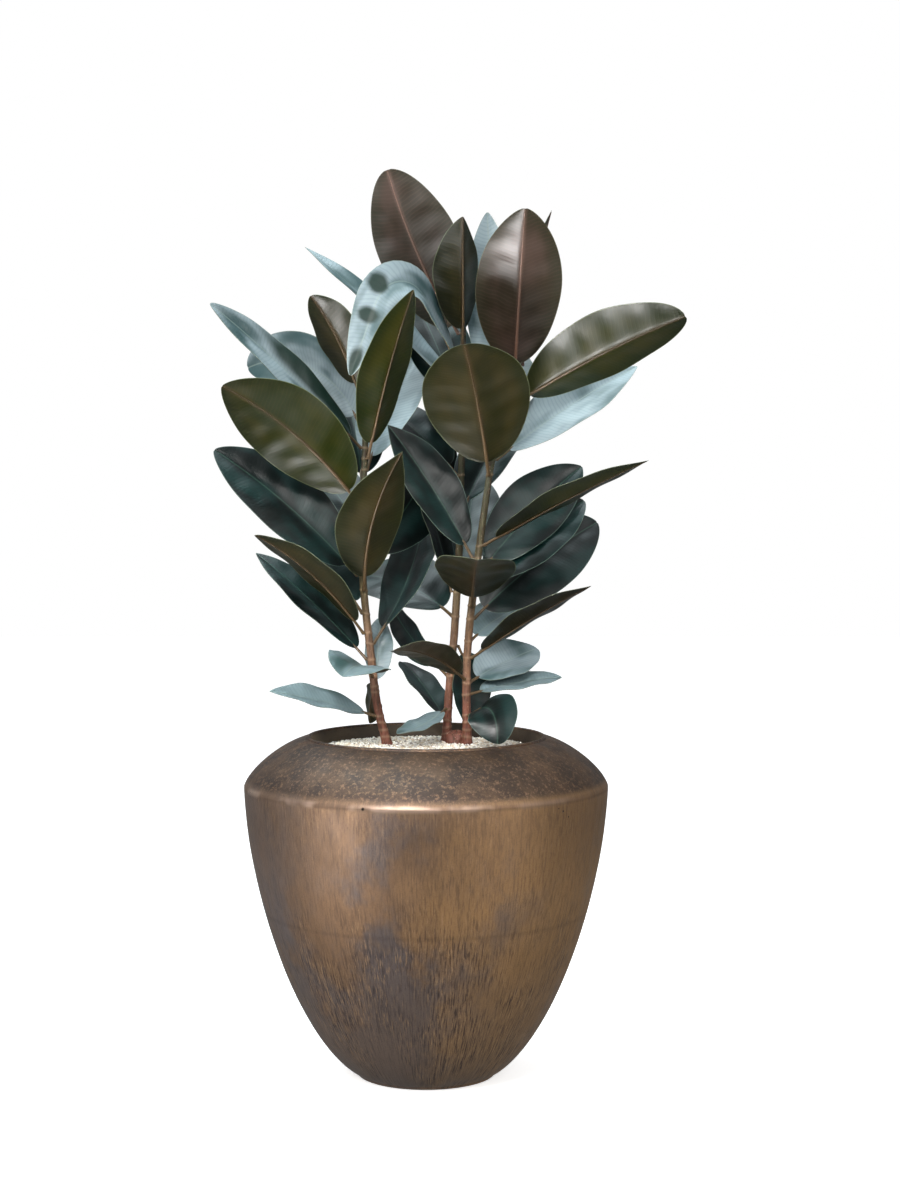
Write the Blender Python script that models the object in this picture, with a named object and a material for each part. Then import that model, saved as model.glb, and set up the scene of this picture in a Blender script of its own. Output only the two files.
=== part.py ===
# Abidjan rubber plant: three stems with large leaves, standing in a round-bellied planter.
# Metres, +Z up. The origin is the middle of the pot's flat underside, and the side seen in front
# is at -Y. Headings are degrees from +X towards +Y, so 270 points to the front.
import math
from typing import NamedTuple, Optional

import bmesh
import bpy
import numpy as np

# Clearance left between pieces that touch on the real plant
GAP = 0.0004
STEM_FOOT_GAP = 0.0003

# The pot, a turned shell
POT_HEIGHT = 0.515
FOOT_RADIUS = 0.092
SHOULDER_RADIUS = 0.2742
SHOULDER_HEIGHT = 0.440
MOUTH_RADIUS = 0.1745
LIP_WIDTH = 0.0065
WALL = 0.012
FLOOR = 0.014
COLLAR_BOTTOM = 0.484
WALL_ROUNDNESS = (1.62, 1.62)
DOME_ROUNDNESS = 1.4
SHARP_ANGLE = 40
TURN_STEPS = 40
SAME_POINT = 0.00002
DOME_STEPS = 8
LIP_STEPS = 4
CAVITY_DOME_STEPS = 4

# Steps up the wall outside and inside, and how much closer together they are near the foot
WALL_STEPS = 13
WALL_CROWDING = 1.9
CAVITY_STEPS = 7
CAVITY_CROWDING = 1.3
SLOPE_SPAN = 0.002

# The gravel lies on the soil in a low mound around the stems
GRAVEL_EDGE_HEIGHT = 0.495
GRAVEL_TOP = 0.497
MOUND_RADIUS = 0.115
MOUND_STEPS = 4

# Stems
STEM_FOOT = GRAVEL_TOP + STEM_FOOT_GAP
STEM_SIDES = 8
STEM_STEP = 0.030
STEM_FOOT_RADIUS = 0.0068
STEM_TIP_RADIUS = 0.0045
ROOT_FLARE = 0.0022
ROOT_FLARE_REACH = 0.012

# Leaves
PETIOLE_RADIUS = 0.003
TIP_RADIUS = 0.0012
BLADE_THICKNESS = 0.0055
MIDRIB_THICKENING = 1.4
WIDEST_EARLY = 0.95
TIP_TAPER_GAIN = 1.3
SECTION_POINTS = 8
PETIOLE_STATIONS = (0, 0.6)
SEAT_STATIONS = (0, 0.5, 1, 1.5)
BLADE_STATIONS = (0, 0.06, 0.18, 0.34, 0.52, 0.70, 0.85, 0.95, 1)
ARCH_STATIONS = (0, 0.05, 0.13, 0.22, 0.30, 0.37, 0.44, 0.51, 0.58, 0.66, 0.75, 0.84, 0.92, 0.97, 1)
LINE_SAMPLES = 240

# Colours as linear RGB, roughness and metallic value
FINISHES = {
    "pot_bronze": ((0.150, 0.100, 0.070), 0.45, 0.35),
    "soil": ((0.040, 0.028, 0.020), 0.95, 0.0),
    "gravel": ((0.680, 0.620, 0.540), 0.85, 0.0),
    "bark": ((0.180, 0.100, 0.065), 0.75, 0.0),
    "leaf": ((0.030, 0.060, 0.050), 0.35, 0.0),
}


class Leaf(NamedTuple):
    """One leaf with its petiole, from its place on the stem."""

    height: float
    heading: float
    rise: float
    length: float
    width: float
    droop: float
    roll: float
    petiole: float = 0.024
    taper: float = 0.6
    sweep: float = 0.0
    crest: Optional[float] = None
    bend: float = 0.5
    fold: float = 14.0


# Each stem's middle line, from the gravel to its tip
STEM_LINES = {
    "left": (
        (-0.060, 0.045, STEM_FOOT), (-0.076, 0.042, 0.563), (-0.087, 0.040, 0.655), (-0.096, 0.036, 0.747),
        (-0.098, 0.033, 0.838), (-0.093, 0.030, 0.929), (-0.091, 0.030, 0.985), (-0.089, 0.030, 1.030),
    ),
    "middle": (
        (0.030, 0.085, STEM_FOOT), (0.036, 0.085, 0.590), (0.044, 0.085, 0.683), (0.050, 0.083, 0.791),
        (0.053, 0.080, 0.898), (0.055, 0.078, 1.005), (0.056, 0.075, 1.140),
    ),
    "right": (
        (0.062, 0.050, STEM_FOOT), (0.061, 0.048, 0.578), (0.065, 0.045, 0.670), (0.076, 0.040, 0.762),
        (0.088, 0.035, 0.853), (0.100, 0.030, 0.929), (0.119, 0.025, 1.004), (0.140, 0.020, 1.080),
    ),
}

# The leaves of each stem, about in order of height
LEAVES = {
    "left": (
        Leaf(0.540, 203, 18, 0.175, 0.070, 8, -24, petiole=0.018, taper=0.8),
        Leaf(0.584, 79, 78, 0.109, 0.046, 16, 32, petiole=0.011),
        Leaf(0.577, 97, -12, 0.119, 0.046, 42, 63, petiole=0.010),
        Leaf(0.601, 259, 25, 0.155, 0.094, 46, -17, petiole=0.017, taper=0.58, sweep=-8),
        Leaf(0.626, 155, 44, 0.250, 0.075, 10, -20, taper=0.75),
        Leaf(0.650, 43, 49, 0.260, 0.091, -18, -7, petiole=0.032, taper=0.7, sweep=31),
        Leaf(0.666, 211, 51, 0.240, 0.080, 25, 12),
        Leaf(0.696, 137, 47, 0.190, 0.090, 15, -8),
        Leaf(0.732, 275, 58, 0.259, 0.109, 9, 6, taper=0.82, sweep=41),
        Leaf(0.754, 177, 48, 0.290, 0.110, 15, -56),
        Leaf(0.778, 52, 35, 0.283, 0.112, -20, 56),
        Leaf(0.826, 118, 34, 0.220, 0.090, 15, -20),
        Leaf(0.864, 214, 48, 0.291, 0.124, 25, 55, taper=0.65),
        Leaf(0.890, 100, 50, 0.220, 0.090, 25, 10),
        Leaf(0.914, 60, 58, 0.250, 0.100, 20, 8),
        Leaf(0.931, 310, 71, 0.268, 0.099, 7, 3, taper=0.7, sweep=8),
        Leaf(0.947, 205, 45, 0.318, 0.067, 8, -57, taper=0.57),
        Leaf(0.976, 146, 60, 0.264, 0.100, 80, -91, taper=0.52),
        Leaf(1.014, 204, 71, 0.180, 0.088, 20, 29, petiole=0.032, taper=0.56),
    ),
    "middle": (
        Leaf(0.546, 238, -20, 0.138, 0.042, -20, -7, petiole=0.010, taper=0.63),
        Leaf(0.529, 120, 38, 0.158, 0.062, 17, 9, petiole=0.010, taper=0.52),
        Leaf(0.643, 28, -63, 0.128, 0.070, 48, 88, petiole=0.014, taper=0.72),
        Leaf(0.597, 133, 31, 0.172, 0.054, -20, -93, petiole=0.034, taper=0.54),
        Leaf(0.689, 134, 29, 0.223, 0.118, 33, -32),
        Leaf(0.749, 81, 35, 0.232, 0.111, -18, -1),
        Leaf(0.726, 163, 77, 0.203, 0.057, 10, -20),
        Leaf(0.850, 62, 48, 0.250, 0.095, 25, 5),
        Leaf(0.905, 145, 45, 0.230, 0.095, 25, -10),
        Leaf(0.950, 85, 48, 0.250, 0.100, 25, 5),
        Leaf(1.001, 120, 59, 0.239, 0.105, 17, -15),
        Leaf(1.034, 164, 46, 0.335, 0.080, 8, -12, taper=0.8),
        Leaf(1.104, 269, 79, 0.194, 0.088, -18, 41, taper=0.7, sweep=-4, fold=24),
        Leaf(1.067, 227, 56, 0.348, 0.067, 126, -55, taper=0.57, sweep=-36, crest=0.48, bend=0.41),
        Leaf(1.121, 162, 59, 0.276, 0.136, -15, 76, petiole=0.016, taper=0.52, sweep=16),
    ),
    "right": (
        Leaf(0.540, 302, 22, 0.129, 0.077, 113, 30, petiole=0.033, taper=0.53, sweep=-25),
        Leaf(0.572, 29, 11, 0.165, 0.050, 10, 24, petiole=0.018),
        Leaf(0.590, 46, 20, 0.160, 0.080, 10, 32, petiole=0.018),
        Leaf(0.596, 240, 28, 0.217, 0.059, 27, 24, petiole=0.018, taper=0.54),
        Leaf(0.628, 329, 33, 0.235, 0.078, 8, -8, taper=0.85),
        Leaf(0.654, 56, 25, 0.181, 0.079, 24, 24, petiole=0.016, taper=0.63),
        Leaf(0.688, 37, 37, 0.285, 0.120, 15, 56),
        Leaf(0.708, 272, 34, 0.200, 0.120, 25, -4),
        Leaf(0.734, 24, 43, 0.224, 0.108, 15, 42),
        Leaf(0.758, 32, 47, 0.248, 0.102, 14, 51, taper=0.66),
        Leaf(0.780, 182, 62, 0.240, 0.088, 10, -58, taper=0.8),
        Leaf(0.800, 338, 29, 0.290, 0.085, 6, -12, taper=0.9),
        Leaf(0.906, 259, 52, 0.275, 0.158, 20, 12),
        Leaf(0.930, 21, 36, 0.275, 0.100, 10, 36, taper=0.8),
        Leaf(0.970, 80, 50, 0.200, 0.085, 20, 10),
        Leaf(1.009, 339, 30, 0.303, 0.111, 11, -49, petiole=0.034, taper=0.52, sweep=-4, fold=27),
        Leaf(1.008, 103, 61, 0.325, 0.083, -20, -30, taper=0.67),
        Leaf(1.050, 275, 63, 0.275, 0.128, 5, 0),
        Leaf(1.070, 22, 83, 0.240, 0.078, 10, -28, taper=0.9),
    ),
}


def make_material(name):
    """A Principled material with the colour of one finish."""
    colour, roughness, metallic = FINISHES[name]
    material = bpy.data.materials.new(name)
    material.use_nodes = True
    shader = material.node_tree.nodes["Principled BSDF"]
    shader.inputs["Base Color"].default_value = (*colour, 1.0)
    shader.inputs["Roughness"].default_value = roughness
    shader.inputs["Metallic"].default_value = metallic
    return material


def add_object(name, bm, material):
    """Close the mesh's making: normals out, smooth shading, and an object for it."""
    bmesh.ops.recalc_face_normals(bm, faces=bm.faces[:])
    mesh = bpy.data.meshes.new(name)
    bm.to_mesh(mesh)
    bm.free()
    mesh.shade_smooth()
    mesh.set_sharp_from_angle(angle=math.radians(SHARP_ANGLE))
    mesh.materials.append(material)
    obj = bpy.data.objects.new(name, mesh)
    bpy.context.scene.collection.objects.link(obj)
    return obj


def add_turned(name, profile, material):
    """Turn an outline of (radius, height) points, which starts and ends on the axis."""
    bm = bmesh.new()
    verts = [bm.verts.new((radius, 0.0, height)) for radius, height in profile]
    edges = [bm.edges.new(pair) for pair in zip(verts, verts[1:])]
    bmesh.ops.spin(
        bm, geom=verts + edges, cent=(0, 0, 0), axis=(0, 0, 1),
        angle=math.tau, steps=TURN_STEPS, use_merge=True,
    )
    bmesh.ops.remove_doubles(bm, verts=bm.verts[:], dist=SAME_POINT)
    return add_object(name, bm, material)


def add_loft(name, rings, material):
    """A closed solid through rings that all have the same number of points."""
    bm = bmesh.new()
    rows = [[bm.verts.new(point) for point in ring] for ring in rings]
    for row, following in zip(rows, rows[1:]):
        for side in range(len(row)):
            after = (side + 1) % len(row)
            bm.faces.new((row[side], row[after], following[after], following[side]))
    bm.faces.new(rows[0])
    bm.faces.new(rows[-1])
    return add_object(name, bm, material)


def rounded(share, roundness):
    """Height share of a superellipse's quarter at a radius share."""
    return (1 - share**roundness) ** (1 / roundness)


def wall_radius(height):
    """Outer radius of the belly below the shoulder."""
    upper, lower = WALL_ROUNDNESS
    below_shoulder = 1 - height / SHOULDER_HEIGHT
    swell = (1 - below_shoulder**upper) ** (1 / lower)
    return FOOT_RADIUS + (SHOULDER_RADIUS - FOOT_RADIUS) * swell


def quarter(steps):
    """Angle shares from the side of a quarter round to its top, without the first."""
    return [math.pi / 2 * step / steps for step in range(1, steps + 1)]


def dome(outer_radius, inner_radius, bottom, top, steps):
    """Points of the pot's shoulder, from its side up to the mouth."""
    points = []
    for angle in quarter(steps):
        out = math.cos(angle) ** (2 / DOME_ROUNDNESS) if angle < math.pi / 2 else 0.0
        up = rounded(out, DOME_ROUNDNESS)
        points.append((inner_radius + (outer_radius - inner_radius) * out, bottom + (top - bottom) * up))
    return points


def pot_outside():
    """Outline from the middle of the underside up to the collar inside the mouth."""
    points = [(0.0, 0.0)]
    for step in range(WALL_STEPS + 1):
        height = SHOULDER_HEIGHT * (step / WALL_STEPS) ** WALL_CROWDING
        points.append((wall_radius(height), height))
    lip_round = LIP_WIDTH / 2
    lip_middle = MOUTH_RADIUS + lip_round
    lip_base = POT_HEIGHT - lip_round
    points += dome(SHOULDER_RADIUS, MOUTH_RADIUS + LIP_WIDTH, SHOULDER_HEIGHT, lip_base, DOME_STEPS)
    for step in range(1, LIP_STEPS + 1):
        angle = math.pi * step / LIP_STEPS
        points.append((lip_middle + lip_round * math.cos(angle), lip_base + lip_round * math.sin(angle)))
    return points


def pot_cavity(inset):
    """Outline of the space for the soil, from the floor's middle up to the collar."""
    inner_shoulder = SHOULDER_RADIUS - WALL
    points = [(0.0, FLOOR + inset)]
    for step in range(CAVITY_STEPS + 1):
        height = FLOOR + (SHOULDER_HEIGHT - FLOOR) * (step / CAVITY_STEPS) ** CAVITY_CROWDING
        slope = 0.0
        if step < CAVITY_STEPS:
            rise = wall_radius(height + SLOPE_SPAN / 2) - wall_radius(height - SLOPE_SPAN / 2)
            slope = rise / SLOPE_SPAN
        radius = wall_radius(height) - WALL * math.hypot(1, slope)
        points.append((radius - inset, height + inset * (step == 0)))
    points += [
        (radius, height - inset)
        for radius, height in dome(
            inner_shoulder - inset, MOUTH_RADIUS - inset, SHOULDER_HEIGHT, COLLAR_BOTTOM, CAVITY_DOME_STEPS
        )
    ]
    return points


def add_pot(material):
    return add_turned("pot", pot_outside() + pot_cavity(0.0)[::-1], material)


def add_soil(material):
    outline = pot_cavity(GAP)
    return add_turned("soil", outline + [(0.0, outline[-1][1])], material)


def add_gravel(material):
    radius = MOUTH_RADIUS - GAP
    points = [(0.0, COLLAR_BOTTOM), (radius, COLLAR_BOTTOM)]
    for step in range(MOUND_STEPS + 1):
        share = step / MOUND_STEPS
        smooth = share * share * (3 - 2 * share)
        height = GRAVEL_EDGE_HEIGHT + (GRAVEL_TOP - GRAVEL_EDGE_HEIGHT) * smooth
        points.append((radius + (MOUND_RADIUS - radius) * share, height))
    return add_turned("gravel", points + [(0.0, GRAVEL_TOP)], material)


def smooth_line(points, steps_between=8):
    """A Catmull-Rom curve through the points."""
    line = np.array(points, float)
    line = np.vstack([2 * line[0] - line[1], line, 2 * line[-1] - line[-2]])
    curve = []
    for before, start, end, after in zip(line, line[1:], line[2:], line[3:]):
        for step in range(steps_between):
            t = step / steps_between
            curve.append(
                0.5 * (2 * start + (end - before) * t
                       + (2 * before - 5 * start + 4 * end - after) * t**2
                       + (3 * start - before - 3 * end + after) * t**3)
            )
    curve.append(line[-2])
    return np.array(curve)


STEM_CURVES = {stem: smooth_line(points) for stem, points in STEM_LINES.items()}


def stem_point(stem, height):
    curve = STEM_CURVES[stem]
    across = [np.interp(height, curve[:, 2], curve[:, axis]) for axis in (0, 1)]
    return np.array([*across, height])


def stem_radius(stem, height):
    """The stem's taper, without the flare at its foot."""
    foot, tip = STEM_CURVES[stem][0, 2], STEM_CURVES[stem][-1, 2]
    return STEM_FOOT_RADIUS + (STEM_TIP_RADIUS - STEM_FOOT_RADIUS) * (height - foot) / (tip - foot)


def add_stem(stem, material):
    """A tapering stem with level rings, so that its foot is cut flat."""
    foot, tip = STEM_CURVES[stem][0, 2], STEM_CURVES[stem][-1, 2]
    count = round((tip - foot) / STEM_STEP)
    heights = [foot, foot + ROOT_FLARE_REACH] + [foot + (tip - foot) * n / count for n in range(1, count + 1)]
    rings = []
    for height in heights:
        radius = stem_radius(stem, height) + ROOT_FLARE * math.exp(-(height - foot) / ROOT_FLARE_REACH)
        centre = stem_point(stem, height)
        turns = [math.tau * side / STEM_SIDES for side in range(STEM_SIDES)]
        rings.append([centre + radius * np.array([math.cos(turn), math.sin(turn), 0]) for turn in turns])
    return add_loft("stem_" + stem, rings, material)


def round_section(radius):
    """Sideways and upward offsets of eight points round a petiole."""
    turns = [math.pi - math.tau * point / SECTION_POINTS for point in range(SECTION_POINTS)]
    return [(radius * math.cos(turn), radius * math.sin(turn)) for turn in turns]


def seat_distance(stem, height, heading, rim):
    """Distance out from the stem's middle line at which a petiole's rim just clears the bark."""
    outward = np.array([math.cos(heading), math.sin(heading), 0])
    left = np.array([-math.sin(heading), math.cos(heading), 0])
    corner = math.tau / STEM_SIDES
    flats = (np.arange(STEM_SIDES) + 0.5) * corner - heading
    flats = flats[np.cos(flats) > math.sin(corner / 4)]
    foot, tip = STEM_CURVES[stem][0, 2], STEM_CURVES[stem][-1, 2]
    distance = 0.0
    for offset in rim:
        level = min(max(height + offset[2], foot), tip)
        offset = offset - (stem_point(stem, level) - stem_point(stem, height))
        flat_distance = stem_radius(stem, level) * math.cos(corner / 2)
        bark = np.min((flat_distance - (offset @ left) * np.sin(flats)) / np.cos(flats))
        distance = max(distance, bark - offset @ outward)
    return distance + GAP


def leaf_frames(stem, leaf, shares):
    """Middle line points and the side and top directions at shares of the leaf's whole length."""
    along = np.linspace(0, 1, LINE_SAMPLES)
    petiole = leaf.petiole / leaf.length
    blade = np.clip((along - petiole) / (1 - petiole), 0, 1)
    turned = blade
    if leaf.crest is not None:
        ramp = np.clip((blade - leaf.crest + leaf.bend / 2) / leaf.bend, 0, 1)
        turned = ramp * ramp * (3 - 2 * ramp)
    rise = np.radians(leaf.rise - leaf.droop * turned)
    heading = np.radians(leaf.heading + leaf.sweep * blade)
    roll = math.radians(leaf.roll)
    forward = np.stack([np.cos(rise) * np.cos(heading), np.cos(rise) * np.sin(heading), np.sin(rise)], axis=1)
    level = np.stack([-np.sin(heading), np.cos(heading), 0 * heading], axis=1)
    side = level * math.cos(roll) + np.cross(forward, level) * math.sin(roll)
    top = np.cross(forward, side)
    steps = (forward[1:] + forward[:-1]) / 2 * leaf.length / (LINE_SAMPLES - 1)
    line = np.vstack([np.zeros(3), np.cumsum(steps, axis=0)])
    rim = [
        line[place] + across * side[place] + up * top[place]
        for place in np.searchsorted(along, np.array(SEAT_STATIONS) * petiole)
        for across, up in round_section(PETIOLE_RADIUS)
    ]
    outward = np.array([math.cos(heading[0]), math.sin(heading[0]), 0])
    line += stem_point(stem, leaf.height) + outward * seat_distance(stem, leaf.height, heading[0], rim)

    def pick(values):
        return np.stack([np.interp(shares, along, values[:, axis]) for axis in range(3)], axis=1)

    return pick(line), pick(side), pick(top)


def blade_half_width(leaf, share):
    """Half the blade's width at a share of its length, round at the foot and drawn out at the tip."""
    bluntness = 0.5 + (leaf.taper - 0.5) * TIP_TAPER_GAIN * share
    return leaf.width / 2 * math.sin(math.pi * share**WIDEST_EARLY) ** bluntness


def leaf_section(leaf, share):
    """Sideways and upward offsets of one ring of eight points."""
    half_width = blade_half_width(leaf, share) if 0 < share < 1 else 0.0
    if half_width < PETIOLE_RADIUS:
        return round_section(TIP_RADIUS if share >= 1 else PETIOLE_RADIUS)
    section = []
    for across, face in ((-1, 0), (-0.5, 1), (0, 1), (0.5, 1), (1, 0), (0.5, -1), (0, -1), (-0.5, -1)):
        thickness = BLADE_THICKNESS * leaf.length * (MIDRIB_THICKENING if across == 0 else 1)
        lift = half_width * abs(across) * math.tan(math.radians(leaf.fold))
        section.append((across * half_width, lift + face * thickness))
    return section


def add_leaf(name, stem, leaf, material):
    """A petiole that widens into a folded blade."""
    stations = BLADE_STATIONS if leaf.crest is None else ARCH_STATIONS
    petiole = leaf.petiole / leaf.length
    places = [station * petiole for station in PETIOLE_STATIONS]
    places += [petiole + (1 - petiole) * station for station in stations]
    sections = [round_section(PETIOLE_RADIUS) for station in PETIOLE_STATIONS]
    sections += [leaf_section(leaf, station) for station in stations]
    line, side, top = leaf_frames(stem, leaf, places)
    rings = []
    for index, section in enumerate(sections):
        rings.append([line[index] + across * side[index] + up * top[index] for across, up in section])
    return add_loft(name, rings, material)


def build():
    for obj in list(bpy.data.objects):
        bpy.data.objects.remove(obj, do_unlink=True)
    finish = {name: make_material(name) for name in FINISHES}
    add_pot(finish["pot_bronze"])
    add_soil(finish["soil"])
    add_gravel(finish["gravel"])
    for stem, leaves in LEAVES.items():
        add_stem(stem, finish["bark"])
        for number, leaf in enumerate(leaves, start=1):
            add_leaf(f"leaf_{stem}_{number:02d}", stem, leaf, finish["leaf"])


build()
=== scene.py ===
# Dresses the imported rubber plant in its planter: fine leaves, bark, gravel and bronze, with a plain studio.
# Metres, +Z up. Headings are degrees from +X towards +Y, so 270 points to the front.
import math
from typing import NamedTuple, Optional

import bmesh
import bpy
import numpy as np
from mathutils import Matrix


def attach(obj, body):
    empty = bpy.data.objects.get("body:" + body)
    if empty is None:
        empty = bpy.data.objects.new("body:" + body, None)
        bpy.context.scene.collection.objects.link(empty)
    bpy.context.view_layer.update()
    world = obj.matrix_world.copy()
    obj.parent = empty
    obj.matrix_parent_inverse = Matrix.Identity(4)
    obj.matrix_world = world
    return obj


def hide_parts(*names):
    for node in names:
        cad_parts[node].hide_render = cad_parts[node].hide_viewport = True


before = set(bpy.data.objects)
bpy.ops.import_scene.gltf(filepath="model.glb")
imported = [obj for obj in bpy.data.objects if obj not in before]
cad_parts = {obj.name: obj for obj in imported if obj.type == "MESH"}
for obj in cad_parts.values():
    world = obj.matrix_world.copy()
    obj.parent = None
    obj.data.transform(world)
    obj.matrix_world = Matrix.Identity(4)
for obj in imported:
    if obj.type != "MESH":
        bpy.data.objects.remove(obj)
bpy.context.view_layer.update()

# The camera, at the photo's viewing height and distance
CAMERA_PLACE = (0.036, -3.5, 0.92)
CAMERA_DOWN = 3.29
CAMERA_LENS = 70.0
SENSOR = 36.0

# The pot's driving sizes, as in the part's source
POT_HEIGHT = 0.515
FOOT_RADIUS = 0.092
SHOULDER_RADIUS = 0.2742
SHOULDER_HEIGHT = 0.440
MOUTH_RADIUS = 0.1745
LIP_WIDTH = 0.0065
COLLAR_BOTTOM = 0.484
WALL_ROUNDNESS = (1.62, 1.62)
DOME_ROUNDNESS = 1.4
FOOT_EDGE = 0.004
POT_TURNS = 256
WALL_ROWS = 110
DOME_ROWS = 70
LIP_ROWS = 10
COLLAR_ROWS = 6
COLLAR_SUNK = 0.004
FOOT_ROWS = 6
POT_UNEVENNESS = 0.0005

# Gravel
GRAVEL_EDGE_HEIGHT = 0.495
GRAVEL_TOP = 0.497
MOUND_RADIUS = 0.115
BED_DROP = 0.0045
BED_RINGS = 60
BED_TURNS = 180
BED_UNEVENNESS = 0.0008
BED_SEED = 5
STONE_SPACING = 0.0056
STONE_ROW_SPACING = STONE_SPACING * 0.866
STONE_JITTER = 0.0017
STONE_RADII = (0.0024, 0.0042)
STONE_SQUASH = ((0.8, 0.65, 0.5), (1.3, 1.0, 0.85))
STONE_BUMPS = 0.12
STONE_LIFT = (-0.0012, 0.0008)
STONE_COLOUR_SHARES = (0.42, 0.26, 0.20, 0.12)
STONE_WALL_GAP = 0.003
STONE_STEM_GAP = 0.002
STONE_SEED = 11

# Stems
STEM_FOOT_GAP = 0.0003
STEM_FOOT = GRAVEL_TOP + STEM_FOOT_GAP
STEM_SIDES = 8
STEM_FOOT_RADIUS = 0.0068
STEM_TIP_RADIUS = 0.0045
ROOT_FLARE = 0.0022
ROOT_FLARE_REACH = 0.012
BARK_SIDES = 28
BARK_STEP = 0.0016
BARK_SUNK = 0.008
BARK_INSET = 0.0002
BARK_RIPPLES = (0.00022, 0.00014)
BARK_SEED = 40
SCAR_HEIGHT = 0.0008
SCAR_WIDTH = 0.0016
SCAR_TILT = 0.0012
LOW_SCAR_STEP = 0.011
LOW_SCAR_FOOT_GAP = 0.010
LOW_SCAR_LEAF_GAP = 0.006
BUD_LENGTH = 0.036
BUD_SUNK = 0.002
BUD_ROWS = 22
BUD_SWELLING = 0.18
BUD_TIP_RADIUS = 0.0003
BUD_CURL = 0.004

# The lump of old wood between two stems' feet
LUMP_PLACE = (0.046, 0.066)
LUMP_REACH = (0.0195, 0.016)
LUMP_HEIGHT = 0.021
LUMP_SUNK = 0.005
LUMP_ROWS = 24
LUMP_SIDES = 40
LUMP_UNEVENNESS = 0.025
LUMP_SEED = 3
LUMP_TONE_HEIGHT = 0.50

# Leaves
GAP = 0.0004
STALK_RADIUS = 0.003
SECTION_POINTS = 8
SEAT_STATIONS = (0, 0.5, 1, 1.5)
LINE_SAMPLES = 240
WIDEST_EARLY = 0.95
TIP_TAPER_GAIN = 1.3
BLADE_ROWS = 60
BLADE_START = 0.004
BLADE_END = 0.997
HALF_COLUMNS = 10
LEAST_HALF_WIDTH = 0.0006
LEAF_THICKNESS = 0.0009
RIM_THICKNESS = 0.0006
FOLD_ROUNDNESS = 0.012
BLADE_BULGE = 0.035
RIM_DIP = 0.02
WAVE_HEIGHT = 0.0016
WAVE_SHARE = 0.40
RIPPLE_HEIGHT = 0.0009
RIPPLE_LENGTH = 0.041
RIB_SIDES = 10
STALK_ROWS = 9
MIDRIB_ROWS = 40
MIDRIB_START = 0.02
MIDRIB_END = 0.985
RIB_RADIUS = 0.0023
RIB_WIDTH_GAIN = 2.5
RIB_TIP_RADIUS = 0.0005
RIB_SINK = 0.72
RIB_FLATTENING = 0.25
RIB_MERGE_SHARE = 0.05
STALK_SWELLING = 0.35
STALK_SUNK = 0.003
STALK_EDGE = 0.02
LEAF_SHIFT = 3.7
VEIN_SPACING = 0.0062
VEIN_SLANT = 0.32
# Softness of the edge of the pale bloom and painted sheen
BLOOM_AND_SHEEN_EDGE = 0.13
LEAF_GLOSS = 0.42


class Leaf(NamedTuple):
    """One leaf with its stalk, from its place on the stem."""

    height: float
    heading: float
    rise: float
    length: float
    width: float
    droop: float
    roll: float
    stalk: float = 0.024
    taper: float = 0.6
    sweep: float = 0.0
    crest: Optional[float] = None
    bend: float = 0.5
    fold: float = 14.0


# Each stem's middle line, from the gravel to its tip
STEM_LINES = {
    "left": (
        (-0.060, 0.045, STEM_FOOT), (-0.076, 0.042, 0.563), (-0.087, 0.040, 0.655), (-0.096, 0.036, 0.747),
        (-0.098, 0.033, 0.838), (-0.093, 0.030, 0.929), (-0.091, 0.030, 0.985), (-0.089, 0.030, 1.030),
    ),
    "middle": (
        (0.030, 0.085, STEM_FOOT), (0.036, 0.085, 0.590), (0.044, 0.085, 0.683), (0.050, 0.083, 0.791),
        (0.053, 0.080, 0.898), (0.055, 0.078, 1.005), (0.056, 0.075, 1.140),
    ),
    "right": (
        (0.062, 0.050, STEM_FOOT), (0.061, 0.048, 0.578), (0.065, 0.045, 0.670), (0.076, 0.040, 0.762),
        (0.088, 0.035, 0.853), (0.100, 0.030, 0.929), (0.119, 0.025, 1.004), (0.140, 0.020, 1.080),
    ),
}

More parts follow.
